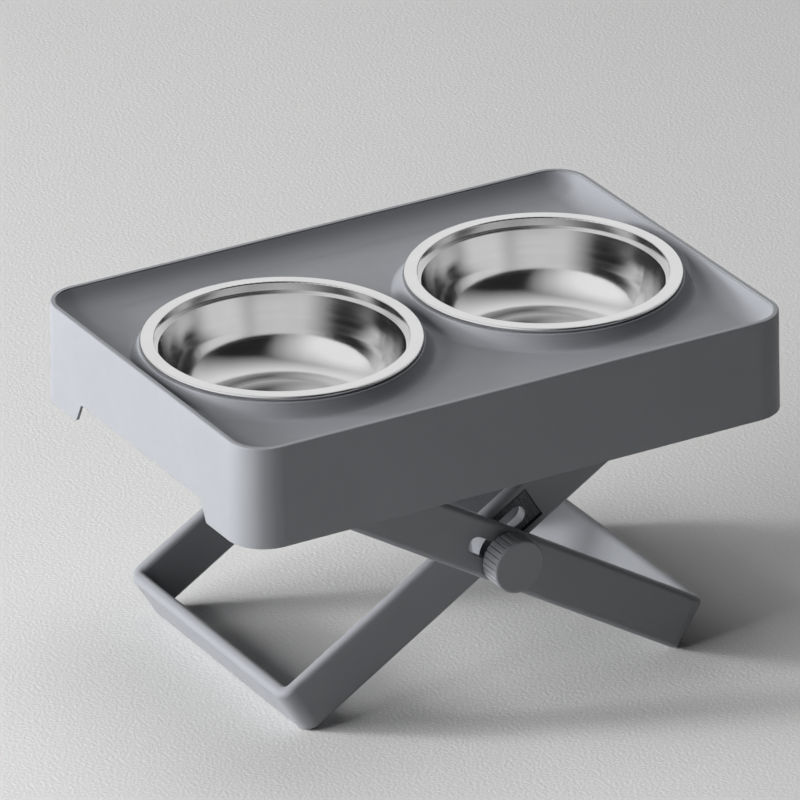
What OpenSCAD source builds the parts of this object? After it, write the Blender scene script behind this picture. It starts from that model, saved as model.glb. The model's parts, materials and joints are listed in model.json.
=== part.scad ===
// Raised feeding stand for a dog: a dished tray with two lift-out steel bowls on a folding scissor leg frame.
// Millimetres, Z up, origin on the floor under the middle of the tray, long side along X, front at -Y.

/* [Tray] */
// Outer length of the tray at the lip
tray_length = 400; // [390:1:440]
// Outer width of the tray at the lip
tray_width = 278; // [274:1:300]
// Height of the skirt from its open bottom edge to the lip
tray_height = 68.5; // [66:0.5:80]
// Plan radius of the four corners
tray_corner_r = 24.5; // [23.5:0.5:34]
// Thickness of the skirt
tray_wall = 2; // [1.6:0.1:3]
// How far the skirt leans out at its bottom edge
skirt_flare = 1.4; // [0:0.1:2]
// Width of the lip round the dish
lip_width = 3.4; // [3:0.1:5]
// Rounding of the lip's edges
lip_round = 1; // [0.6:0.1:1.8]
// Depth of the dish below the lip
dish_depth = 12; // [9:0.5:13]
// Width of the curved sweep from the lip to the flat floor
dish_run = 19; // [14:0.5:20]
// Thickness of the tray floor
floor_t = 3; // [2:0.5:4]
// Length of the hand notch in each short side, along its top
notch_length = 158; // [100:1:180]
// Height of the hand notch
notch_height = 14; // [10:1:18]
// Lean of the notch's ends from upright
notch_lean = 26; // [0:1:30]
// Rounding at the top and at the foot of the notch's ends
notch_round = 2.5; // [1:0.5:4]

/* [Bowls] */
// Distance between the two bowl centres
bowl_spacing = 194.2; // [190:0.2:200]
// Outer radius of the bowl rim
bowl_rim_r = 90.6; // [88:0.1:92.4]
// Width of the flat rim
bowl_rim_width = 8; // [7:0.5:9]
// Radius of the rolled edge under the rim
bowl_bead_r = 1.6; // [1.2:0.1:2]
// Depth of the upright neck under the rim
bowl_neck_depth = 7; // [5:0.5:10]
// Width of the step below the neck
bowl_step = 2.4; // [1.6:0.1:4]
// Inner depth of the bowl from the rim
bowl_depth = 53; // [40:1:54]
// Outer radius where the wall turns into the base
bowl_turn_r = 30; // [22:1:32]
// Lean of the bowl wall from upright
bowl_lean = 12; // [6:1:16]
// Thickness of the steel sheet
bowl_sheet = 1; // [0.8:0.1:1.4]
// How far the bowl rim stands above the tray lip
rim_stand = 1.4; // [1:0.1:4]
// Room between a bowl neck and the hole in the tray
bowl_clear = 0.8; // [0.4:0.1:1.2]
// Thickness of the raised collar under the bowl rim
collar_wall = 2.8; // [2:0.1:3.2]
// Rounding at the foot of the collar
collar_foot_r = 5.5; // [3:0.5:6.5]

/* [Legs] */
// Distance from the middle of the tray to each hinge axis
hinge_half = 135; // [128:1:138]
// Height of the hinge axes above the tray's bottom edge
hinge_up = 19.6; // [19.4:0.1:22]
// Slope of the legs with the stand fully raised
open_angle = 31.6; // [28:0.1:33]
// Distance along a leg from the crossing to its foot
foot_reach = 167.7; // [150:0.1:170]
// Depth of the leg bars
leg_depth = 37.8; // [34:0.2:40]
// Thickness of the leg bars
leg_t = 8.9; // [7:0.1:9.6]
// Plan radius of the leg frame's outer corners
leg_corner_r = 10.8; // [10.2:0.1:20]
// Rounding of the leg bars' edges
leg_edge_r = 4; // [1:0.1:4.4]
// How much of the lowest edge of each foot is trimmed level
foot_trim = 2; // [1.8:0.1:2.8]

/* [Clamp] */
// Space between the bars of the two legs
leg_gap = 14.4; // [10:0.1:15]
// Width of the slots in the bars
slot_width = 12.4; // [12:0.1:14]
// How far each slot runs past the place of the folded crossing
slot_spare = 2.6; // [0:0.1:4]
// Width of the ribbed recess round each slot
recess_width = 24.9; // [20:0.1:27]
// Depth of the ribbed recess
recess_depth = 1.6; // [1:0.1:2.2]
// How far the recess runs past the slot's end centres
recess_run = 14.3; // [11:0.1:18]
// Width of the groove along each long side of the recess
recess_groove_w = 1.4; // [0.8:0.1:2]
// Depth of that groove from the face of the bar
recess_groove_depth = 3.2; // [2.4:0.1:4]
// Spacing of the ribs
rib_pitch = 1.65; // [1.4:0.05:3]
// Height of the ribs
rib_height = 0.8; // [0.4:0.1:0.9]
// Radius of the clamp bolt
bolt_r = 2.5; // [2:0.1:3]
// Width of the bolt head across its flats
bolt_head_af = 8; // [7:0.5:12]
// Thickness of the bolt head
bolt_head_t = 3.5; // [2.5:0.1:6]
// How far the bolt reaches into the knob
bolt_grip = 10.4; // [6:0.2:11]
// Radius of the round spacer between the legs
spacer_r = 15; // [13.5:0.5:17]
// Radius of the washers
washer_r = 12; // [10:0.5:14]
// Thickness of the washers
washer_t = 1.2; // [0.8:0.1:2]
// Radius of the knob
knob_r = 18.3; // [15:0.1:20]
// Thickness of the knob
knob_t = 16; // [13:0.5:17]
// Number of grooves round the knob
knob_grooves = 28; // [18:1:36]
// Radius of each groove
groove_r = 0.6; // [0.5:0.1:1.1]
// Rounding of the knob's outer edge
knob_edge_r = 1.8; // [1:0.1:4]

/* [Hinges] */
// Radius of the hinge pins
pin_r = 4; // [3:0.1:5]
// Radius of the pin heads
pin_head_r = 8; // [6.5:0.5:10]
// Thickness of the pin heads
pin_head_t = 2.2; // [1.5:0.1:3]
// How far a pin stands out of its ring
pin_proud = 1; // [0.5:0.1:2]
// Thickness of the push-on rings that hold the pins
ring_t = 1.5; // [1:0.1:2]
// Radius of the push-on rings
ring_r = 7.5; // [6.5:0.5:9]
// Thickness of the bracket plates
bracket_t = 6; // [4:0.1:6.5]
// Radius of the bracket eye
bracket_eye_r = 11; // [8:0.5:13]
// Length of the bracket flange
flange_length = 38; // [32:1:44]
// Width of the bracket flange
flange_width = 14.5; // [13:0.5:15]
// Thickness of the bracket flange
flange_t = 4; // [3:0.5:4.5]
// Radius of the screw bosses under the tray floor
boss_r = 4; // [3:0.5:4.5]
// Radius of the screw holes
screw_r = 1.5; // [1:0.1:1.8]

/* [Hidden] */
$fn = 96;
// small overlap that joins two pieces of one solid
eps = 0.01;
// how far a cutter runs past the face that it cuts
over = 1;
// fits
slide_gap = 0.1;
run_gap = 0.06;
seat_gap = 0.02;
hinge_gap = 0.4;
knob_room = 4.3;
eye_room = 2.4;
boss_margin = 1;
least_land = 0.3;

// heights
cross_open = hinge_half / cos(open_angle);
cross_folded = hinge_half;
slot_start = cross_folded - slot_spare;
leg_len = cross_open + foot_reach;
hinge_z = leg_len * sin(open_angle) + leg_depth / 2 * cos(open_angle) - foot_trim;
tray_z0 = hinge_z - hinge_up;
tray_z1 = tray_z0 + tray_height;
floor_z = tray_z1 - dish_depth;
under_z = floor_z - floor_t;
rim_z = tray_z1 + rim_stand;
collar_z = rim_z - bowl_sheet;
cross_z = hinge_z - hinge_half * tan(open_angle);
flange_z0 = hinge_z + leg_depth / 2 + eye_room;
flange_z1 = flange_z0 + flange_t;

// tray plan and dish
core_x = tray_length - 2 * tray_corner_r;
core_y = tray_width - 2 * tray_corner_r;
lip_in_r = tray_corner_r - lip_width;
least_foot_r = 1;
dish_used = min(dish_run, lip_in_r - least_foot_r);
dish_foot_r = lip_in_r - dish_used;
dish_half = 2 * atan(dish_depth / dish_used);
dish_r = dish_used / sin(dish_half);

// bowls
neck_r = bowl_rim_r - bowl_rim_width;
hole_r = neck_r + bowl_clear;
collar_r = hole_r + collar_wall;
collar_round = collar_wall / 2;
bowl_top_r = neck_r - bowl_step;
step_lap = 0.7 * bowl_sheet;
rim_bend_r = 0.8 * bowl_sheet;
rim_lap = bowl_sheet - rim_bend_r;

// positions across the stand, counted from the middle plane
skirt_in_y = tray_width / 2 - tray_wall;
knob_out_y = skirt_in_y - knob_room;
knob_in_y = knob_out_y - knob_t;
outer_out_y = knob_in_y - washer_t - slide_gap;
outer_in_y = outer_out_y - leg_t;
inner_out_y = outer_in_y - leg_gap;
inner_in_y = inner_out_y - leg_t;
bolt_head_y = inner_in_y - washer_t - slide_gap;
slot_r = slot_width / 2;
// faces of a leg's two bars that look at the other leg, with the front bar outside and the rear bar inside
bar_faces = [-outer_in_y, inner_out_y];
boss_dx = flange_length / 2 - boss_r - boss_margin;
bolt_end_y = knob_in_y + bolt_grip;

// small forms
leg_round = min(leg_edge_r, leg_t / 2 - least_land);
rib_root = recess_depth / 4;
rib_lead = rib_pitch / 4;
groove_shift = groove_r / 4;
pin_head_round = pin_head_t / 2;
head_corner_r = bolt_head_af / sqrt(3);
head_face_r = 0.47 * bolt_head_af;
head_slope = tan(30);

// A solid with a rounded rectangle in every level: the profile (radius, height) is run round the plan.
// Corners of a quarter turn suit an undercut profile; a plain profile takes whole turns.
module rounded_form(cx, cy, z0, z1, quarter) {
  rotate([90, 0, 0]) linear_extrude(height = cy, center = true) both_sides(cx, z0, z1) children();
  rotate([90, 0, 90]) linear_extrude(height = cx, center = true) both_sides(cy, z0, z1) children();
  for (q = [[1, 1, 0], [-1, 1, 90], [-1, -1, 180], [1, -1, 270]])
    translate([q[0] * cx / 2, q[1] * cy / 2, 0])
      if (quarter) rotate([0, 0, q[2]]) rotate_extrude(angle = 90) children();
      else rotate_extrude() children();
}

module both_sides(c, z0, z1) {
  translate([-c / 2 - eps, z0]) square([c + 2 * eps, z1 - z0]);
  translate([c / 2, 0]) children();
  mirror([1, 0]) translate([c / 2, 0]) children();
}

// What a rounding of radius r takes off an outer corner at [0, 0] that points to +x +y.
module corner_off(r, past = over) {
  translate([-r, -r]) difference() {
    square(r + past);
    circle(r);
  }
}

module tray_outer_profile() {
  difference() {
    polygon([
      [0, tray_z0], [tray_corner_r + skirt_flare, tray_z0],
      [tray_corner_r, tray_z1 - lip_round], [tray_corner_r, tray_z1], [0, tray_z1]
    ]);
    translate([tray_corner_r, tray_z1]) corner_off(lip_round);
  }
}

module tray_cavity_profile() {
  in_r = tray_corner_r - tray_wall;
  difference() {
    polygon([
      [0, tray_z0 - over], [in_r + skirt_flare, tray_z0 - over],
      [in_r + skirt_flare, tray_z0], [in_r, tray_z1 - lip_round], [0, tray_z1 - lip_round]
    ]);
    translate([dish_foot_r, floor_z + dish_r]) circle(dish_r + floor_t);
    translate([-over, under_z]) square([dish_foot_r + over, tray_height]);
  }
}

module dish_profile() {
  intersection() {
    union() {
      translate([dish_foot_r, floor_z + dish_r]) circle(dish_r);
      translate([0, floor_z]) square([dish_foot_r, dish_r]);
    }
    translate([0, floor_z - over]) square([tray_corner_r * 2, dish_depth + over]);
  }
  translate([0, tray_z1 - over]) square([lip_in_r, 3 * over]);
}

module collar_profile() {
  difference() {
    union() {
      translate([hole_r, under_z]) square([collar_wall, collar_z - under_z]);
      translate([collar_r - eps, under_z]) square([collar_foot_r, floor_t + collar_foot_r]);
    }
    translate([collar_r + collar_foot_r, floor_z + collar_foot_r]) circle(collar_foot_r);
    translate([collar_r, floor_z + collar_foot_r]) square([collar_foot_r + over, collar_foot_r]);
    translate([collar_r, collar_z]) corner_off(collar_round);
  }
}

// Opening of the hand notch: its ends lean out, with a rounding at the top and a flare at the foot.
module notch_profile() {
  r = notch_round;
  turn = (r - eps) * [cos(notch_lean), sin(notch_lean)];
  lean_out = tan(notch_lean);
  half = notch_length / 2;
  top_x = half + r * lean_out - r / cos(notch_lean);
  foot_x = half + (notch_height - r) * lean_out + r / cos(notch_lean);
  difference() {
    for (m = [0, 1]) mirror([m, 0]) {
      polygon([
        [-over, -over], [foot_x, -over], [foot_x, r], [foot_x, r] - turn, [top_x, notch_height - r] + turn,
        [top_x, notch_height - r], [top_x, notch_height], [-over, notch_height]
      ]);
      translate([top_x, notch_height - r]) circle(r);
    }
    for (m = [0, 1]) mirror([m, 0]) translate([foot_x, r]) circle(r);
  }
}

// Places its children at the two screw bosses of each bracket.
module at_bosses() {
  for (turn = [0, 180], d = [-1, 1]) rotate([0, 0, turn]) {
    translate([-hinge_half + d * boss_dx, -screw_y(outer_out_y), 0]) children();
    translate([-hinge_half + d * boss_dx, screw_y(inner_out_y), 0]) children();
  }
}

function screw_y(leg_out) = leg_out + hinge_gap + bracket_t + (flange_width - bracket_t) / 2;

module tray_shell() {
  color([0.36, 0.37, 0.39]) difference() {
    union() {
      difference() {
        union() {
          difference() {
            rounded_form(core_x, core_y, tray_z0, tray_z1, true) tray_outer_profile();
            rounded_form(core_x, core_y, tray_z0 - over, under_z, true) tray_cavity_profile();
          }
          at_bosses() translate([0, 0, flange_z1]) cylinder(r = boss_r, h = tray_z1 - lip_round - flange_z1);
        }
        rounded_form(core_x, core_y, floor_z, tray_z1 + 2 * over, true) dish_profile();
      }
      for (s = [-1, 1]) translate([s * bowl_spacing / 2, 0, 0]) rotate_extrude() collar_profile();
    }
    for (s = [-1, 1]) translate([s * bowl_spacing / 2, 0, under_z - over])
      cylinder(r = hole_r, h = collar_z - under_z + 2 * over);
    at_bosses() translate([0, 0, flange_z1 - over]) cylinder(r = screw_r, h = under_z - flange_z1 + over);
    translate([0, 0, tray_z0]) rotate([90, 0, 90])
      linear_extrude(height = tray_length + 2 * (skirt_flare + over), center = true) notch_profile();
  }
}

// The bowl body as a solid, inset from its outer face, up to the top of the step.
module bowl_fill(inset) {
  turn = bowl_turn_r - inset;
  top = -bowl_neck_depth;
  base = -bowl_depth - bowl_sheet + inset;
  cz = -bowl_depth - bowl_sheet + bowl_turn_r;
  cx = bowl_top_r + (sin(bowl_lean) * (cz - top) - bowl_turn_r) / cos(bowl_lean);
  tx = cx + turn * cos(bowl_lean);
  tz = cz - turn * sin(bowl_lean);
  rotate_extrude() polygon([[0, top], [tx + tan(bowl_lean) * (top - tz), top], [tx, tz], [cx, cz], [0, cz]]);
  translate([0, 0, base]) cylinder(r = cx, h = cz - base + eps);
  rotate_extrude() intersection() {
    translate([cx, cz]) circle(turn);
    translate([cx - eps, base - over]) square([bowl_rim_r, cz - base + over + eps]);
  }
}

// Half section of the step and the upright neck above the body.
module bowl_neck_profile() {
  step_z = -bowl_neck_depth - bowl_sheet;
  step_in = bowl_top_r - step_lap;
  neck_in = neck_r - bowl_sheet;
  difference() {
    translate([step_in, step_z]) square([neck_r - step_in, -step_z]);
    translate([step_in - over, -bowl_neck_depth]) square([neck_in - step_in + over, bowl_neck_depth + over]);
    translate([neck_in, 0]) mirror([1, 0]) corner_off(rim_bend_r);
  }
}

module bowl() {
  color([0.78, 0.79, 0.8]) translate([0, 0, rim_z]) {
    difference() {
      bowl_fill(0);
      bowl_fill(bowl_sheet);
    }
    rotate_extrude() bowl_neck_profile();
    rotate_extrude() translate([neck_r - rim_lap, -bowl_sheet])
      square([bowl_rim_width + rim_lap - bowl_bead_r, bowl_sheet]);
    rotate_extrude() translate([bowl_rim_r - bowl_bead_r, -bowl_bead_r]) circle(bowl_bead_r);
  }
}

module left_bowl() translate([-bowl_spacing / 2, 0, 0]) bowl();
module right_bowl() translate([bowl_spacing / 2, 0, 0]) bowl();

// Section of a leg bar's outer side and of the opening inside the frame, both with rounded edges.
module leg_outer_profile() {
  difference() {
    translate([0, -leg_depth / 2]) square([leg_corner_r, leg_depth]);
    for (m = [0, 1]) mirror([0, m]) translate([leg_corner_r, leg_depth / 2]) corner_off(leg_round);
  }
}

module leg_opening_profile() {
  in_r = leg_corner_r - leg_t;
  translate([0, -leg_depth / 2 - over]) square([in_r, leg_depth + 2 * over]);
  for (m = [0, 1]) mirror([0, m])
    translate([in_r, leg_depth / 2]) mirror([1, 0]) corner_off(leg_round, in_r / 2);
}

// Round end of a bar about the hinge axis, with the bar's own edge rounding.
module leg_eye() {
  rotate([90, 0, 0]) rotate_extrude() difference() {
    translate([0, -leg_t / 2]) square([leg_depth / 2, leg_t]);
    for (m = [0, 1]) mirror([0, m]) translate([leg_depth / 2, leg_t / 2]) corner_off(leg_round);
  }
}

module slot_shape(r) {
  translate([slot_start, 0]) circle(r);
  translate([cross_open, 0]) circle(r);
  translate([slot_start, -r]) square([cross_open - slot_start, 2 * r]);
}

// Comb of fine ribs across the recess, rooted in its floor.
module ribs() {
  x0 = slot_start - recess_run + rib_lead;
  count = floor((cross_open - slot_start + 2 * recess_run) / rib_pitch);
  linear_extrude(height = recess_width - recess_groove_w, center = true) polygon(concat(
    [[x0, -rib_root]],
    [for (i = [0 : count - 1], k = [0, 1]) [x0 + (i + k / 2) * rib_pitch, k * rib_height]],
    [[x0 + count * rib_pitch, 0], [x0 + count * rib_pitch, -rib_root]]
  ));
}

// Recess of a given width and depth in a bar's +Y face, at a distance from the bar's middle line.
module leg_recess(width, depth, off) {
  run = cross_open - slot_start + 2 * recess_run;
  translate([slot_start - recess_run, -depth, off - width / 2]) cube([run, depth + over, width]);
}

// A leg frame lying flat along +X from its hinge axis, with its front bar outside and its rear bar inside.
module leg_frame() {
  ext = leg_depth;
  mid = [(leg_len - ext) / 2, (inner_out_y - outer_out_y) / 2, 0];
  cx = leg_len + ext - 2 * leg_corner_r;
  cy = outer_out_y + inner_out_y - 2 * leg_corner_r;
  z = leg_depth / 2;
  groove_off = (recess_width - recess_groove_w) / 2;
  difference() {
    union() {
      difference() {
        translate(mid) rounded_form(cx, cy, -z, z, false) leg_outer_profile();
        translate(mid) rounded_form(cx, cy, -z - over, z + over, false) leg_opening_profile();
        translate([-2 * ext, -outer_out_y - over, -ext]) cube([2 * ext, 2 * (outer_out_y + over), 2 * ext]);
        for (y = bar_faces) translate([0, y, 0]) leg_recess(recess_width, recess_depth, 0);
      }
      for (y = bar_faces) translate([0, y - leg_t / 2, 0]) leg_eye();
      for (y = bar_faces) translate([0, y - recess_depth, 0]) ribs();
    }
    for (y = bar_faces, s = [-1, 1]) translate([0, y, 0])
      leg_recess(recess_groove_w, recess_groove_depth, s * groove_off);
    for (y = bar_faces) translate([0, y - leg_t / 2, 0]) rotate([90, 0, 0]) {
      cylinder(r = pin_r + run_gap, h = leg_t + 2 * over, center = true);
      linear_extrude(height = leg_t + 2 * over, center = true) slot_shape(slot_r);
    }
  }
}

// Puts a flat leg into its raised place: hinged at the left end and sloping down to the right.
module raised() {
  difference() {
    translate([-hinge_half, 0, hinge_z]) rotate([0, open_angle, 0]) children();
    translate([-tray_length, -tray_width, -leg_depth]) cube([2 * tray_length, 2 * tray_width, leg_depth]);
  }
}

module outer_leg() {
  color([0.33, 0.34, 0.36]) raised() leg_frame();
}

// The same frame turned half round, so that the two legs pass each other.
module inner_leg() rotate([0, 0, 180]) outer_leg();

// Bracket beside a leg eye: a plate with an eye, a gusset and a flange screwed up against the tray bosses.
module bracket(leg_out) {
  y0 = leg_out + hinge_gap;
  rise = flange_z0 - hinge_z;
  half = flange_length / 2;
  color([0.27, 0.28, 0.3]) difference() {
    union() {
      translate([0, y0 + bracket_t, hinge_z]) rotate([90, 0, 0]) linear_extrude(height = bracket_t) {
        circle(bracket_eye_r);
        polygon([[-bracket_eye_r, 0], [bracket_eye_r, 0], [half, rise + eps], [-half, rise + eps]]);
      }
      translate([-half, y0, flange_z0]) cube([flange_length, flange_width, flange_t]);
      translate([-bracket_t / 2, y0 + bracket_t - eps, flange_z0 + eps]) rotate([90, 0, 90])
        linear_extrude(height = bracket_t)
          polygon([[0, 0], [flange_width - bracket_t, 0], [0, bracket_t - flange_width]]);
    }
    translate([0, y0 - over, hinge_z]) rotate([-90, 0, 0])
      cylinder(r = pin_r + seat_gap, h = bracket_t + 2 * over);
    for (d = [-1, 1]) translate([d * boss_dx, screw_y(leg_out), flange_z0 - over])
      cylinder(r = screw_r + seat_gap, h = flange_t + 2 * over);
  }
}

module bracket_outer_front() mirror([0, 1, 0]) translate([-hinge_half, 0, 0]) bracket(outer_out_y);
module bracket_outer_rear() translate([-hinge_half, 0, 0]) bracket(inner_out_y);
module bracket_inner_front() mirror([0, 1, 0]) translate([hinge_half, 0, 0]) bracket(inner_out_y);
module bracket_inner_rear() translate([hinge_half, 0, 0]) bracket(outer_out_y);

// Headed pin from the inside of a leg bar out through the bracket eye.
module pin(leg_out) {
  y0 = leg_out - leg_t - hinge_gap - pin_head_t;
  y1 = leg_out + hinge_gap + bracket_t + ring_t + pin_proud;
  color([0.6, 0.61, 0.62]) translate([0, y0, hinge_z]) rotate([-90, 0, 0]) {
    rotate_extrude() difference() {
      square([pin_head_r, pin_head_t]);
      translate([pin_head_r, 0]) mirror([0, 1]) corner_off(pin_head_round);
    }
    translate([0, 0, pin_head_t / 2]) cylinder(r = pin_r, h = y1 - y0 - pin_head_t / 2);
  }
}

module pin_ring(leg_out) {
  color([0.5, 0.51, 0.52]) translate([0, leg_out + hinge_gap + bracket_t, hinge_z]) rotate([-90, 0, 0])
    difference() {
      cylinder(r = ring_r, h = ring_t);
      translate([0, 0, -over]) cylinder(r = pin_r + seat_gap, h = ring_t + 2 * over);
    }
}

module pin_outer_front() mirror([0, 1, 0]) translate([-hinge_half, 0, 0]) pin(outer_out_y);
module pin_outer_rear() translate([-hinge_half, 0, 0]) pin(inner_out_y);
module pin_inner_front() mirror([0, 1, 0]) translate([hinge_half, 0, 0]) pin(inner_out_y);
module pin_inner_rear() translate([hinge_half, 0, 0]) pin(outer_out_y);
module ring_outer_front() mirror([0, 1, 0]) translate([-hinge_half, 0, 0]) pin_ring(outer_out_y);
module ring_outer_rear() translate([-hinge_half, 0, 0]) pin_ring(inner_out_y);
module ring_inner_front() mirror([0, 1, 0]) translate([hinge_half, 0, 0]) pin_ring(inner_out_y);
module ring_inner_rear() translate([hinge_half, 0, 0]) pin_ring(outer_out_y);

// Puts a clamp piece, turned about +Y at the origin, on the crossing at height y.
module at_cross(y) translate([0, y, cross_z]) rotate([-90, 0, 0]) children();

module collar_ring(r, h) {
  difference() {
    cylinder(r = r, h = h);
    translate([0, 0, -over]) cylinder(r = bolt_r + seat_gap, h = h + 2 * over);
  }
}

module bolt() {
  color([0.62, 0.63, 0.64]) {
    at_cross(bolt_head_y - bolt_head_t) intersection() {
      cylinder(r = head_corner_r, h = bolt_head_t, $fn = 6);
      rotate_extrude() polygon([
        [0, 0], [head_face_r, 0], [head_corner_r, (head_corner_r - head_face_r) * head_slope],
        [head_corner_r, bolt_head_t + over], [0, bolt_head_t + over]
      ]);
    }
    at_cross(bolt_head_y - bolt_head_t / 2)
      cylinder(r = bolt_r, h = bolt_end_y - bolt_head_y + bolt_head_t / 2);
  }
}

module inner_washer() {
  color([0.62, 0.63, 0.64]) at_cross(bolt_head_y) collar_ring(washer_r, washer_t);
}

module spacer() {
  color([0.33, 0.34, 0.36]) at_cross(inner_out_y + slide_gap) collar_ring(spacer_r, leg_gap - 2 * slide_gap);
}

module slide_bush() {
  color([0.14, 0.14, 0.15]) at_cross(outer_in_y - slide_gap)
    collar_ring(slot_r - slide_gap, leg_t + 2 * slide_gap);
}

module knob_washer() {
  color([0.62, 0.63, 0.64]) at_cross(outer_out_y + slide_gap) collar_ring(washer_r, washer_t);
}

module knob() {
  color([0.33, 0.34, 0.36]) at_cross(knob_in_y) difference() {
    rotate_extrude() difference() {
      square([knob_r, knob_t]);
      translate([knob_r, knob_t]) corner_off(knob_edge_r);
    }
    for (i = [0 : knob_grooves - 1]) rotate([0, 0, (i + 0.5) * 360 / knob_grooves])
      translate([knob_r + groove_shift, 0, -over]) cylinder(r = groove_r, h = knob_t + 2 * over);
    translate([0, 0, -over]) cylinder(r = bolt_r + run_gap, h = bolt_grip + over + slide_gap);
  }
}

module rear_bolt() bolt();
module rear_inner_washer() inner_washer();
module rear_spacer() spacer();
module rear_slide_bush() slide_bush();
module rear_knob_washer() knob_washer();
module rear_knob() knob();
module front_bolt() mirror([0, 1, 0]) bolt();
module front_inner_washer() mirror([0, 1, 0]) inner_washer();
module front_spacer() mirror([0, 1, 0]) spacer();
module front_slide_bush() mirror([0, 1, 0]) slide_bush();
module front_knob_washer() mirror([0, 1, 0]) knob_washer();
module front_knob() mirror([0, 1, 0]) knob();

tray_shell();
left_bowl();
right_bowl();
outer_leg();
inner_leg();
bracket_outer_front();
bracket_outer_rear();
bracket_inner_front();
bracket_inner_rear();
pin_outer_front();
pin_outer_rear();
pin_inner_front();
pin_inner_rear();
ring_outer_front();
ring_outer_rear();
ring_inner_front();
ring_inner_rear();
front_bolt();
rear_bolt();
front_inner_washer();
rear_inner_washer();
front_spacer();
rear_spacer();
front_slide_bush();
rear_slide_bush();
front_knob_washer();
rear_knob_washer();
front_knob();
rear_knob();
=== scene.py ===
"""Looks of a raised dog feeder stand round its CAD frame.

It adds finishes, bracket screws, collar shoulders, a floor, light and a camera. Lengths are in metres and
angles in degrees, apart from the lens and its sensor in millimetres. Powers are in watts, and colours and
levels are linear.
"""

import json
import math

import bmesh
import bpy
from mathutils import Matrix, Vector


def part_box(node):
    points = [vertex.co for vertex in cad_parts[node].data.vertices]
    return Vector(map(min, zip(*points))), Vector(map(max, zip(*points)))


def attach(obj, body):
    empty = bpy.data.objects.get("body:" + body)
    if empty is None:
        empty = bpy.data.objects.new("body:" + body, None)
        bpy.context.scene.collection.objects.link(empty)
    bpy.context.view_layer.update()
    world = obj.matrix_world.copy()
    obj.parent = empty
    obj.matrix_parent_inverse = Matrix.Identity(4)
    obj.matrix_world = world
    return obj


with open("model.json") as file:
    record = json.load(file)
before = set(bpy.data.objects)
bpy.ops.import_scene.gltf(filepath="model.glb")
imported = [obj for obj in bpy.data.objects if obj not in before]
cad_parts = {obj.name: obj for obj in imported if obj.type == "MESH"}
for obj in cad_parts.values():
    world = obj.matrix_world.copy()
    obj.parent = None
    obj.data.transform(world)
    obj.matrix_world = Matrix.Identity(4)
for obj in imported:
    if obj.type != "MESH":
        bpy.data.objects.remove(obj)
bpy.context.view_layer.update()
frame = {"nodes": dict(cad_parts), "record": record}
_, tray_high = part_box("tray_shell")

# Camera, taken from the photograph's viewing angle
CAMERA_AZIMUTH = -30.02
CAMERA_ELEVATION = 25.62
CAMERA_ROLL = -0.48
CAMERA_DISTANCE = 5.72
CAMERA_TARGET = Vector((0.0223, 0.0572, 0.1367))
CAMERA_LENS = 394.6
CAMERA_SIGHT = 200.0
SENSOR_WIDTH = 36.0

# Light: a low round key behind on the left, a large panel on the left and one overhead
LIGHT_TARGET = Vector((0.0, 0.0, 0.14))
KEY_PLACE = Vector((-4.34, 2.45, 1.26))
KEY_SIZE = (0.77, 0.77)
KEY_POWER = 215.0
LEFT_PLACE = Vector((-3.74, 0.68, 1.43))
LEFT_SIZE = (3.4, 2.7)
LEFT_POWER = 252.0
TOP_PLACE = Vector((0.45, 0.9, 4.43))
TOP_SIZE = (3.0, 3.0)
TOP_POWER = 66.0

# Room: dim for the light that it sheds, pale behind and beside the part where metal mirrors it
ROOM_LEVEL = 0.02
BACK_LEVEL = 0.88
BACK_DIRECTION = Vector((0.46, 0.78, 0.43))
BACK_SPREAD = (0.0, 0.8)
SIDE_LEVEL = 0.95
SIDE_DIRECTION = Vector((-0.90, 0.10, 0.42))
SIDE_SPREAD = (0.3, 0.9)

# Floor: pale near the part, and turning into an even backdrop between two distances
FLOOR_PALE = (0.67, 0.67, 0.667)
FLOOR_SIZE = 60.0
FLOOR_ROUGHNESS = 0.9
FLOOR_SHINE = 0.2
BACKDROP = (0.5, 0.5, 0.5)
BACKDROP_FROM = 1.0
BACKDROP_FULL = 3.0

# Finishes
GREY_PLASTIC = (0.238, 0.245, 0.264)
BRACKET_PLASTIC = (0.150, 0.155, 0.165)
BLACK_PLASTIC = (0.020, 0.020, 0.022)
STEEL = (0.80, 0.80, 0.80)
ZINC = (0.58, 0.59, 0.60)
LEG_TONE = 0.97
OUTER_ROUGHNESS = 0.45
INNER_ROUGHNESS = 0.5
PLASTIC_IOR = 1.48
PLASTIC_EDGE_R = 0.0005
STEEL_EDGE_R = 0.0008
ZINC_EDGE_R = 0.0004
# Painted shade in the grooves and inside corners of the legs and knobs: how far it reaches and how dark it
# gets
CORNER_SHADE_REACH = 0.009
CORNER_SHADE_TONE = 0.2
SHADER_SAMPLES = 6

# Places of the colour sockets on a Mix node
MIX_FIRST = 6
MIX_SECOND = 7
MIX_RESULT = 2

# Collar shoulders: each reaches a little past the bowl's rim and slopes down to the dish
COLLAR_R = 0.0862
COLLAR_H = 0.0124
SHOULDER_R = 0.0919
SHOULDER_H = 0.0100
SHOULDER_ROUND = 0.001
SHOULDER_ROOT = 0.0004
SLOPE_BENDS = ((0.0942, 0.0042), (0.0958, 0.0005))
SLOPE_FOOT = (0.0990, -0.00005)
SLOPE_GAP = 0.0001
LEAST_COSINE = 0.01

# The tray's dish, placed to a hundredth of a millimetre
DISH_FLOOR_Z = round(tray_high.z - COLLAR_H, 5)
SWEEP_R = 0.02105
SWEEP_FROM_SIDE = 0.0238
SWEEP_START_X = round(tray_high.x - SWEEP_FROM_SIDE, 5)

# Bracket screws
FLANGE_T = 0.004
SCREW_HEAD_R = 0.0032
SCREW_HEAD_H = 0.0021
SCREW_FROM_END = 0.005
SCREW_FROM_EDGE = 0.00425


# Node helpers

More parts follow.
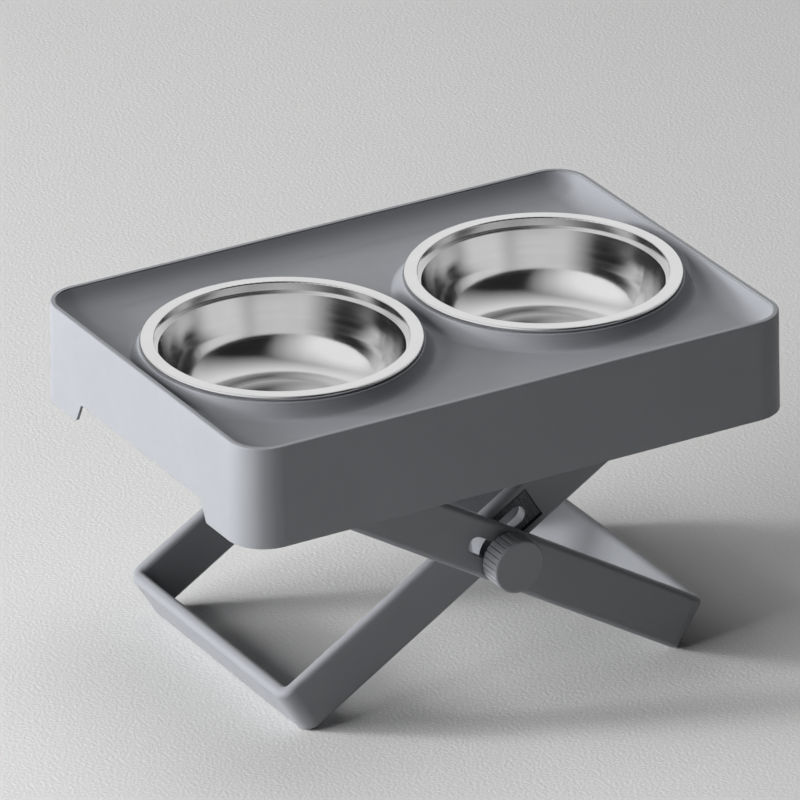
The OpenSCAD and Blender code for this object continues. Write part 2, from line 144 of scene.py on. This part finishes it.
def new_material(name):
    """An empty node material: its tree and its shader."""
    material = bpy.data.materials.new(name)
    material.use_nodes = True
    tree = material.node_tree
    tree.nodes.clear()
    shader = tree.nodes.new("ShaderNodeBsdfPrincipled")
    output = tree.nodes.new("ShaderNodeOutputMaterial")
    tree.links.new(shader.outputs["BSDF"], output.inputs["Surface"])
    return material, tree, shader


def feed(tree, node, inputs):
    """Sets a node's inputs to plain values, or links them to other nodes' outputs."""
    for key, value in inputs.items():
        if isinstance(value, bpy.types.NodeSocket):
            tree.links.new(value, node.inputs[key])
        else:
            node.inputs[key].default_value = value


def place(tree):
    """The point on the surface, in metres in the part's own frame."""
    return tree.nodes.new("ShaderNodeTexCoord").outputs["Object"]


def noise(tree, vector, scale, detail):
    """A noise of 0 to 1, with its scale in cells per metre."""
    node = tree.nodes.new("ShaderNodeTexNoise")
    feed(tree, node, {"Vector": vector, "Scale": scale, "Detail": detail})
    return node.outputs["Fac"]


def spread(tree, value, low=0.0, high=1.0, from_low=0.3, from_high=0.7):
    """A value between low and high, by default spread from the middle of a noise."""
    node = tree.nodes.new("ShaderNodeMapRange")
    feed(tree, node, {"Value": value, "From Min": from_low, "From Max": from_high})
    feed(tree, node, {"To Min": low, "To Max": high})
    return node.outputs["Result"]


def math_node(tree, operation, first, second):
    """The result of an operation on two values."""
    node = tree.nodes.new("ShaderNodeMath")
    node.operation = operation
    feed(tree, node, {0: first, 1: second})
    return node.outputs["Value"]


def vector_math(tree, operation, *vectors):
    """The outputs of an operation on one to three vectors."""
    node = tree.nodes.new("ShaderNodeVectorMath")
    node.operation = operation
    feed(tree, node, dict(enumerate(vectors)))
    return node.outputs


def tone(colour, share):
    """A colour made darker or lighter."""
    return tuple(min(1.0, c * share) for c in colour)


def opaque(colour):
    """A plain colour with its alpha, or another node's colour as it is."""
    return (*colour, 1.0) if isinstance(colour, tuple) else colour


def blend_colours(tree, factor, first, second):
    """The first colour where the factor is 0, and the second where it is 1."""
    node = tree.nodes.new("ShaderNodeMix")
    node.data_type = "RGBA"
    feed(tree, node, {"Factor": factor, MIX_FIRST: opaque(first), MIX_SECOND: opaque(second)})
    return node.outputs[MIX_RESULT]


def bump(tree, height, strength, distance, normal=None):
    """Normals with a bump, laid over other normals where they are given."""
    node = tree.nodes.new("ShaderNodeBump")
    feed(tree, node, {"Height": height, "Strength": strength, "Distance": distance})
    if normal is not None:
        feed(tree, node, {"Normal": normal})
    return node.outputs["Normal"]


def eased_edges(tree, radius):
    """Normals that round the sharp edges, and a mask that is 1 on an edge."""
    bevel = tree.nodes.new("ShaderNodeBevel")
    bevel.samples = SHADER_SAMPLES
    feed(tree, bevel, {"Radius": radius})
    eased = bevel.outputs["Normal"]
    flat = tree.nodes.new("ShaderNodeNewGeometry").outputs["Normal"]
    cosine = vector_math(tree, "DOT_PRODUCT", eased, flat)["Value"]
    return eased, spread(tree, cosine, low=1.0, high=0.0, from_low=0.8, from_high=0.995)


def ambient_occlusion(tree, reach):
    """Ambient occlusion: 1 on open faces, and less in grooves and inside corners, where it paints shade.
    """
    node = tree.nodes.new("ShaderNodeAmbientOcclusion")
    node.samples = SHADER_SAMPLES
    node.only_local = True
    feed(tree, node, {"Distance": reach})
    return node.outputs["AO"]


def backdrop_rays(tree):
    """1 for rays from the camera and off shiny faces, which see the backdrop."""
    path = tree.nodes.new("ShaderNodeLightPath")
    return math_node(tree, "MAXIMUM", path.outputs["Is Camera Ray"], path.outputs["Is Glossy Ray"])


# Materials

def moulded_plastic(name, colour, roughness, corner_shade_tone=1.0):
    """Satin moulded plastic: faint cloudy tone, fine grain, rubbed edges and painted shade in grooves and
    inside corners.
    """
    material, tree, shader = new_material(name)
    point = place(tree)
    cloud = noise(tree, point, scale=14.0, detail=3.0)
    grain = noise(tree, point, scale=1500.0, detail=2.0)
    scuff = noise(tree, point, scale=90.0, detail=4.0)
    eased, edge = eased_edges(tree, PLASTIC_EDGE_R)
    worn = math_node(tree, "MULTIPLY", edge, spread(tree, scuff, low=0.3, high=0.9))
    body = blend_colours(tree, spread(tree, cloud), tone(colour, share=0.965), tone(colour, share=1.035))
    body = blend_colours(tree, spread(tree, grain, high=0.35), body, tone(colour, share=0.93))
    body = blend_colours(tree, worn, body, tone(colour, share=1.12))
    # Painted shade: ambient occlusion darkens grooves and inside corners towards a darker tone of the
    # colour
    if corner_shade_tone < 1.0:
        body = blend_colours(tree, ambient_occlusion(tree, CORNER_SHADE_REACH), tone(colour, corner_shade_tone), body)
    feed(tree, shader, {
        "Base Color": body,
        "Roughness": spread(tree, scuff, low=roughness - 0.04, high=roughness + 0.05),
        "Normal": bump(tree, grain, strength=0.10, distance=0.0001, normal=eased),
        "IOR": PLASTIC_IOR,
    })
    return material


def spun_steel(name, centre):
    """Polished steel sheet with the fine rings of spinning round the bowl's axis."""
    material, tree, shader = new_material(name)
    point = place(tree)
    level = (1.0, 1.0, 0.0)
    from_axis = vector_math(tree, "MULTIPLY_ADD", point, level, (-centre.x, -centre.y, 0.0))["Vector"]
    radius = vector_math(tree, "LENGTH", from_axis)["Value"]
    ring_noise = tree.nodes.new("ShaderNodeTexNoise")
    ring_noise.noise_dimensions = "1D"
    feed(tree, ring_noise, {"W": radius, "Scale": 1600.0, "Detail": 3.0})
    rings = ring_noise.outputs["Fac"]
    smear = noise(tree, point, scale=38.0, detail=4.0)
    ring_roughness = spread(tree, rings, low=0.0, high=0.05)
    smear_roughness = spread(tree, smear, low=0.10, high=0.14)
    eased, _ = eased_edges(tree, STEEL_EDGE_R)
    feed(tree, shader, {
        "Base Color": blend_colours(tree, spread(tree, smear), tone(STEEL, share=0.95), STEEL),
        "Roughness": math_node(tree, "ADD", ring_roughness, smear_roughness),
        "Normal": bump(tree, rings, strength=0.05, distance=0.00003, normal=eased),
        "Metallic": 1.0,
    })
    return material


def zinc_plate(name):
    """Zinc-plated steel: mottled, half dull, with bright eased edges."""
    material, tree, shader = new_material(name)
    point = place(tree)
    mottle = noise(tree, point, scale=420.0, detail=4.0)
    streak = noise(tree, point, scale=60.0, detail=3.0)
    eased, edge = eased_edges(tree, ZINC_EDGE_R)
    plate = blend_colours(tree, spread(tree, mottle), tone(ZINC, share=0.86), tone(ZINC, share=1.06))
    feed(tree, shader, {
        "Base Color": blend_colours(tree, edge, plate, tone(ZINC, share=1.25)),
        "Roughness": spread(tree, streak, low=0.28, high=0.42),
        "Normal": bump(tree, mottle, strength=0.08, distance=0.00005, normal=eased),
        "Metallic": 1.0,
    })
    return material


def pale_floor(name):
    """Plain pale floor with a faint grain, which glows as a backdrop far from the part."""
    material, tree, shader = new_material(name)
    point = place(tree)
    grain = noise(tree, point, scale=420.0, detail=4.0)
    cloud = noise(tree, point, scale=3.0, detail=3.0)
    body = blend_colours(tree, spread(tree, cloud), tone(FLOOR_PALE, share=0.97), FLOOR_PALE)
    body = blend_colours(tree, spread(tree, grain, high=0.5), body, tone(FLOOR_PALE, share=0.94))
    feed(tree, shader, {
        "Base Color": body,
        "Normal": bump(tree, grain, strength=0.25, distance=0.0012),
        "Roughness": FLOOR_ROUGHNESS,
        "Specular IOR Level": FLOOR_SHINE,
    })
    away = vector_math(tree, "LENGTH", point)["Value"]
    far = spread(tree, away, from_low=BACKDROP_FROM, from_high=BACKDROP_FULL)
    glow = tree.nodes.new("ShaderNodeEmission")
    feed(tree, glow, {"Color": blend_colours(tree, cloud, tone(BACKDROP, share=0.98), BACKDROP)})
    mix = tree.nodes.new("ShaderNodeMixShader")
    shares = math_node(tree, "MULTIPLY", far, backdrop_rays(tree))
    feed(tree, mix, {0: shares, 1: shader.outputs["BSDF"], 2: glow.outputs["Emission"]})
    output = next(n for n in tree.nodes if n.type == "OUTPUT_MATERIAL")
    feed(tree, output, {"Surface": mix.outputs["Shader"]})
    return material


# Meshes

def add_piece(name, mesh):
    """An object in the scene, made from an edit mesh that is then freed."""
    data = bpy.data.meshes.new(name)
    mesh.to_mesh(data)
    mesh.free()
    piece = bpy.data.objects.new(name, data)
    bpy.context.scene.collection.objects.link(piece)
    return piece


def smooth_faces(piece, angle=35.0):
    """Smooth shading, with the edges past an angle kept sharp."""
    piece.data.polygons.foreach_set("use_smooth", [True] * len(piece.data.polygons))
    piece.data.set_sharp_from_angle(angle=math.radians(angle))


# Small fasteners

def revolve(name, profile, steps=40):
    """A closed solid of revolution about Z from (radius, height) points that start and end on the axis."""
    mesh = bmesh.new()
    turns = [2 * math.pi * i / steps for i in range(steps)]
    rings = []
    for radius, height in profile:
        if radius == 0:
            points = [(0, 0, height)]
        else:
            points = [(radius * math.cos(turn), radius * math.sin(turn), height) for turn in turns]
        rings.append([mesh.verts.new(point) for point in points])
    for low, high in zip(rings, rings[1:]):
        for i in range(steps):
            j = (i + 1) % steps
            corners = [low[i % len(low)], low[j % len(low)], high[j % len(high)], high[i % len(high)]]
            mesh.faces.new(list(dict.fromkeys(corners)))
    bmesh.ops.recalc_face_normals(mesh, faces=mesh.faces)
    return add_piece(name, mesh)


def cross_cutter(width, length, depth, top, taper=0.55):
    """A tapered cross that cuts a driver recess down from the top."""
    mesh = bmesh.new()
    for angle in (0, 90):
        corners = bmesh.ops.create_cube(mesh, size=1.0)["verts"]
        for corner in corners:
            x, y, z = corner.co
            if z < 0:
                corner.co = (x * length * taper, y * width, top - depth)
            else:
                corner.co = (x * length, y * width, top + depth)
        turn = Matrix.Rotation(math.radians(angle), 3, "Z")
        bmesh.ops.rotate(mesh, verts=corners, cent=(0, 0, 0), matrix=turn)
    return add_piece("cross_cutter", mesh)


def cut(piece, cutter):
    """Takes the cutter out of the piece and deletes the cutter."""
    modifier = piece.modifiers.new("cut", "BOOLEAN")
    modifier.operation = "DIFFERENCE"
    modifier.solver = "EXACT"
    modifier.use_self = True
    modifier.object = cutter
    graph = bpy.context.evaluated_depsgraph_get()
    made = bpy.data.meshes.new_from_object(piece.evaluated_get(graph))
    piece.modifiers.clear()
    old = piece.data
    piece.data = made
    bpy.data.meshes.remove(old)
    bpy.data.objects.remove(cutter)


def screw_head(crown_steps=8):
    """A pan head with a cross recess, its seat at Z = 0 and its crown at +Z."""
    r, h = SCREW_HEAD_R, SCREW_HEAD_H
    seat_r = 0.97 * r
    seat_h = 0.06 * h
    side_h = 0.45 * h
    turns = [math.pi / 2 * i / crown_steps for i in range(crown_steps)]
    crown = [(r * math.cos(turn), side_h + (h - side_h) * math.sin(turn)) for turn in turns]
    piece = revolve("screw_head", [(0, 0), (seat_r, 0), (r, seat_h), *crown, (0, h)])
    cut(piece, cross_cutter(width=0.2 * r, length=1.1 * r, depth=0.55 * h, top=h))
    smooth_faces(piece)
    return piece


def add_screws(material):
    """Two screws under each bracket flange."""
    pattern = screw_head()
    pattern.data.materials.clear()
    pattern.data.materials.append(material)
    upside_down = Matrix.Rotation(math.pi, 4, "X")
    for node in [n for n in frame["nodes"] if n.startswith("bracket_")]:
        low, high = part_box(node)
        if low.y > 0:
            y = high.y - SCREW_FROM_EDGE
        else:
            y = low.y + SCREW_FROM_EDGE
        for end, x in (("left", low.x + SCREW_FROM_END), ("right", high.x - SCREW_FROM_END)):
            piece = bpy.data.objects.new(f"screw_{node.removeprefix('bracket_')}_{end}", pattern.data)
            bpy.context.scene.collection.objects.link(piece)
            piece.matrix_world = Matrix.Translation((x, y, high.z - FLANGE_T)) @ upside_down
            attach(piece, "tray")
    bpy.data.objects.remove(pattern)


# Collar shoulders

def dish_height(x):
    """Height of the tray's dish at a distance x from the middle, on the long axis."""
    past = max(0.0, abs(x) - SWEEP_START_X)
    return DISH_FLOOR_Z + SWEEP_R - math.sqrt(SWEEP_R ** 2 - past ** 2)


def shoulder_section(round_steps=6, slope_steps=18):
    """Radius and height above the dish's floor of the shoulder's outside, from the collar's wall down.

    The slope is a curve from the rounded edge to the foot that two bends pull hollow.
    """
    points = [(COLLAR_R - SHOULDER_ROOT, SHOULDER_H)]
    for k in range(round_steps + 1):
        turn = math.pi / 2 * k / round_steps
        radius = SHOULDER_R - SHOULDER_ROUND * (1 - math.sin(turn))
        height = SHOULDER_H - SHOULDER_ROUND * (1 - math.cos(turn))
        points.append((radius, height))
    bends = (points[-1], *SLOPE_BENDS, SLOPE_FOOT)
    for k in range(1, slope_steps + 1):
        t = k / slope_steps
        shares = ((1 - t) ** 3, 3 * t * (1 - t) ** 2, 3 * t * t * (1 - t), t ** 3)
        points.append(tuple(sum(w * bend[i] for w, bend in zip(shares, bends)) for i in (0, 1)))
    return points


def shoulder_loop(outline, centre, turn):
    """The ring's section at one angle, with its slope pressed in where the two rings would meet."""
    along, across = math.cos(turn), math.sin(turn)
    slope_run = SLOPE_FOOT[0] - SHOULDER_R
    to_middle = -math.copysign(1.0, centre.x) * along
    room = (abs(centre.x) - SLOPE_GAP) / max(to_middle, LEAST_COSINE) - SHOULDER_R
    press = min(1.0, room / slope_run)
    radii = [r if r <= SHOULDER_R else SHOULDER_R + (r - SHOULDER_R) * press for r, _ in outline]
    ground = [dish_height(centre.x + r * along) for r in radii]
    tops = [max(DISH_FLOOR_Z + h, g - SHOULDER_ROOT / 2) for (_, h), g in zip(outline, ground)]
    loop = list(zip(radii, tops))
    loop += [(radii[-1], ground[-1] - SHOULDER_ROOT), (radii[0], ground[0] - SHOULDER_ROOT)]
    return [(centre.x + r * along, centre.y + r * across, z) for r, z in loop]


def add_shoulder(name, centre, material, steps=200):
    """A closed ring round the collar, rooted a little in the wall and in the dish."""
    outline = shoulder_section()
    mesh = bmesh.new()
    loops = []
    for i in range(steps):
        points = shoulder_loop(outline, centre, 2 * math.pi * i / steps)
        loops.append([mesh.verts.new(point) for point in points])
    for low, high in zip(loops, loops[1:] + loops[:1]):
        for k in range(len(low)):
            j = (k + 1) % len(low)
            mesh.faces.new((low[k], low[j], high[j], high[k]))
    bmesh.ops.recalc_face_normals(mesh, faces=mesh.faces)
    piece = add_piece(name, mesh)
    piece.data.materials.append(material)
    smooth_faces(piece)
    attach(piece, "tray")


# Stage

def add_floor():
    """One large square that the part stands on."""
    mesh = bmesh.new()
    bmesh.ops.create_grid(mesh, x_segments=1, y_segments=1, size=FLOOR_SIZE / 2)
    floor = add_piece("floor", mesh)
    floor.data.materials.append(pale_floor("pale_floor"))


def pale_patch(tree, direction, limits, level):
    """A level that grows from 0 towards a direction of the room.

    The limits are the cosines off that direction where the patch starts and where it is full.
    """
    ray = tree.nodes.new("ShaderNodeTexCoord").outputs["Generated"]
    cosine = vector_math(tree, "DOT_PRODUCT", ray, direction.normalized())["Value"]
    start, full = limits
    return math_node(tree, "MULTIPLY", spread(tree, cosine, from_low=start, from_high=full), level)


def add_room():
    """Dim room light, with a pale backdrop that only the camera and mirrored rays see."""
    world = bpy.data.worlds.new("room")
    bpy.context.scene.world = world
    world.use_nodes = True
    tree = world.node_tree
    tree.nodes.clear()
    back = pale_patch(tree, BACK_DIRECTION, BACK_SPREAD, BACK_LEVEL)
    side = pale_patch(tree, SIDE_DIRECTION, SIDE_SPREAD, SIDE_LEVEL)
    pale = math_node(tree, "MULTIPLY", math_node(tree, "MAXIMUM", back, side), backdrop_rays(tree))
    shader = tree.nodes.new("ShaderNodeBackground")
    white = (1.0, 1.0, 1.0, 1.0)
    feed(tree, shader, {"Color": white, "Strength": math_node(tree, "MAXIMUM", pale, ROOM_LEVEL)})
    output = tree.nodes.new("ShaderNodeOutputWorld")
    feed(tree, output, {"Surface": shader.outputs["Background"]})


def add_lamp(name, spot, size, power, shape="RECTANGLE"):
    """A flat lamp that faces the part and isn't mirrored in it."""
    data = bpy.data.lights.new(name, "AREA")
    data.shape = shape
    data.size, data.size_y = size
    data.energy = power
    lamp = bpy.data.objects.new(name, data)
    bpy.context.scene.collection.objects.link(lamp)
    lamp.visible_glossy = False
    lamp.location = spot
    lamp.rotation_mode = "QUATERNION"
    lamp.rotation_quaternion = (spot - LIGHT_TARGET).to_track_quat("Z", "Y")


def add_camera():
    """A long lens at the photograph's viewing angle."""
    data = bpy.data.cameras.new("camera")
    data.lens = CAMERA_LENS
    data.sensor_width = SENSOR_WIDTH
    data.clip_end = CAMERA_SIGHT
    camera = bpy.data.objects.new("camera", data)
    bpy.context.scene.collection.objects.link(camera)
    turn, rise = math.radians(CAMERA_AZIMUTH), math.radians(CAMERA_ELEVATION)
    back = Vector((math.sin(turn) * math.cos(rise), -math.cos(turn) * math.cos(rise), math.sin(rise)))
    camera.location = CAMERA_TARGET + back * CAMERA_DISTANCE
    camera.rotation_mode = "QUATERNION"
    level = (-back).to_track_quat("-Z", "Y")
    roll = Matrix.Rotation(math.radians(CAMERA_ROLL), 3, "Z").to_quaternion()
    camera.rotation_quaternion = level @ roll
    bpy.context.scene.camera = camera


# Finishes of the CAD nodes

def dress(nodes, material):
    """Gives CAD nodes their finish."""
    for node in nodes:
        for slot in frame["nodes"][node].material_slots:
            slot.material = material


def bowl_centre(node):
    """The middle of a bowl's box, which lies on its axis."""
    low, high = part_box(node)
    return (low + high) / 2


def finishes():
    """Dresses all CAD nodes by their slots and adds the shoulders. Gives back the zinc for the screws."""
    zinc = zinc_plate("zinc_plate")
    groups = {}
    for part in frame["record"]["subparts"]:
        groups.setdefault(part["material_slot"], []).append(part["node"])
    tray = moulded_plastic("tray_plastic", GREY_PLASTIC, OUTER_ROUGHNESS)
    dress(groups["tray_plastic"], tray)
    leg_grey = tone(GREY_PLASTIC, LEG_TONE)
    for slot in ("leg_plastic", "knob_plastic"):
        # Legs and knobs get painted shade in their grooves and inside corners
        dress(groups[slot], moulded_plastic(slot, leg_grey, OUTER_ROUGHNESS, CORNER_SHADE_TONE))
    for slot, colour in (("bracket_plastic", BRACKET_PLASTIC), ("bush_plastic", BLACK_PLASTIC)):
        dress(groups[slot], moulded_plastic(slot, colour, INNER_ROUGHNESS))
    dress(groups["hardware_steel"], zinc)
    for node in groups["bowl_steel"]:
        centre = bowl_centre(node)
        dress([node], spun_steel(f"spun_steel_{node}", centre))
        add_shoulder(f"shoulder_{node}", centre, tray)
    return zinc


add_camera()
add_floor()
add_room()
add_lamp("key", KEY_PLACE, KEY_SIZE, KEY_POWER, "DISK")
add_lamp("left_panel", LEFT_PLACE, LEFT_SIZE, LEFT_POWER)
add_lamp("top_panel", TOP_PLACE, TOP_SIZE, TOP_POWER)
add_screws(finishes())
bpy.context.scene.view_settings.view_transform = "Standard"
